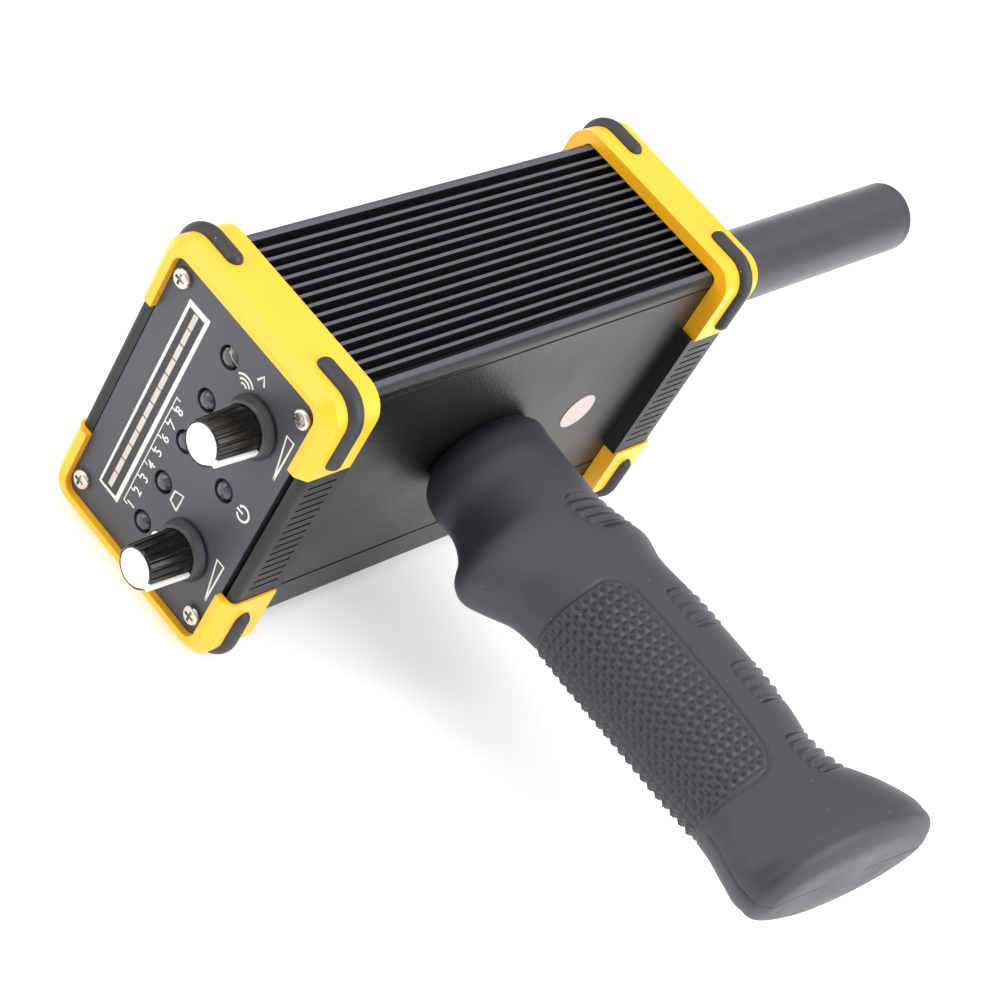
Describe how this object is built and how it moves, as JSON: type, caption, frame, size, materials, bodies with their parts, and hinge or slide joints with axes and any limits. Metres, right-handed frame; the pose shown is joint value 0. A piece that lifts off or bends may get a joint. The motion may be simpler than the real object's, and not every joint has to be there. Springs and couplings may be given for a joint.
{
  "type": "handheld metal locator",
  "caption": "Handheld locator: finned black case with yellow corner guards and rubber bumpers, lamp and knob panel, sensing tube and contoured rubber grip.",
  "frame": {"origin": "centre of the sensing tube at the outer face of the rear panel", "axes": "+Y forward along the sensing tube, +X down the grip, +Z the operator's right, which points up as the object lies on its left side"},
  "size_m": [0.1973, 0.2974, 0.091],
  "materials": {
    "case_black": "black anodised extrusion, fine blasted texture",
    "panel_black": "charcoal anodised plate with white print",
    "frame_black": "moulded, satin",
    "guard_yellow": "moulded warm yellow, satin gloss",
    "bumper_rubber": "moulded rubber, matte",
    "screw_nickel": "nickel plated",
    "display_dark": "smoked window",
    "display_cream": "milky diffuser",
    "lamp_smoke": "smoky tinted lens",
    "lamp_clear": "clear lens",
    "knob_black": "moulded, gloss body and matte skirt",
    "marker_white": "moulded white insert",
    "control_metal": "plain zinc plated",
    "board_green": "green solder mask",
    "chip_black": "moulded epoxy",
    "holder_black": "moulded",
    "cell_wrap": "shrink sleeve",
    "contact_steel": "plain zinc plated",
    "tube_black": "black anodised, satin",
    "socket_alloy": "turned",
    "core_ferrite": "sintered",
    "coil_copper": "enamelled copper wire",
    "collar_foam": "closed cell foam",
    "grip_rubber": "moulded rubber, matte, checkered",
    "core_plastic": "glass filled nylon",
    "badge_grey": "blank label"
  },
  "bodies": {
    "case": {"battery_cells": "cell_wrap", "battery_contacts": "contact_steel", "battery_holder": "holder_black", "blank_badge": "badge_grey", "board_chips": "chip_black", "board_screws": "screw_nickel", "board_spacers": "screw_nickel", "bumper_front_left_lower": "bumper_rubber", "bumper_front_left_upper": "bumper_rubber", "bumper_front_right_lower": "bumper_rubber", "bumper_front_right_upper": "bumper_rubber", "bumper_rear_left_lower": "bumper_rubber", "bumper_rear_left_upper": "bumper_rubber", "bumper_rear_right_lower": "bumper_rubber", "bumper_rear_right_upper": "bumper_rubber", "buzzer": "chip_black", "clear_lamp": "lamp_clear", "coil_collars": "collar_foam", "coil_core": "core_ferrite", "control_nuts": "control_metal", "control_washers": "control_metal", "front_frame": "frame_black", "front_guard_left": "guard_yellow", "front_guard_right": "guard_yellow", "front_panel": "panel_black", "front_panel_screws": "screw_nickel", "grip_bolt": "contact_steel", "grip_core": "core_plastic", "grip_nut": "contact_steel", "grip_plate": "contact_steel", "grip_sleeve": "grip_rubber", "grip_washer": "contact_steel", "indicator_lamps": "lamp_smoke", "left_control_case": "control_metal", "level_display_body": "display_dark", "level_display_steps": "display_cream", "lower_shell": "case_black", "main_board": "board_green", "panel_board": "board_green", "rear_frame": "frame_black", "rear_guard_left": "guard_yellow", "rear_guard_right": "guard_yellow", "rear_panel": "panel_black", "rear_panel_screws": "screw_nickel", "right_control_case": "control_metal", "sensing_coil": "coil_copper", "sensing_tube": "tube_black", "signal_connector": "chip_black", "smoothing_capacitors": "chip_black", "tube_end_cap": "tube_black", "tube_nut": "socket_alloy", "tube_socket": "socket_alloy", "upper_shell": "case_black"},
    "right_control": {"right_knob": "knob_black", "right_knob_marker": "marker_white", "right_control_shaft": "control_metal"},
    "left_control": {"left_knob": "knob_black", "left_knob_marker": "marker_white", "left_control_shaft": "control_metal"}
  },
  "joints": [
    {"name": "right_control_turn", "type": "hinge", "parent": "case", "child": "right_control", "pos_m": [0.01175, -0.1533, 0.0206], "axis": [0, 1, 0], "range_deg": [0, 300]},
    {"name": "left_control_turn", "type": "hinge", "parent": "case", "child": "left_control", "pos_m": [0.01175, -0.1533, -0.0219], "axis": [0, 1, 0], "range_deg": [0, 300]}
  ]
}
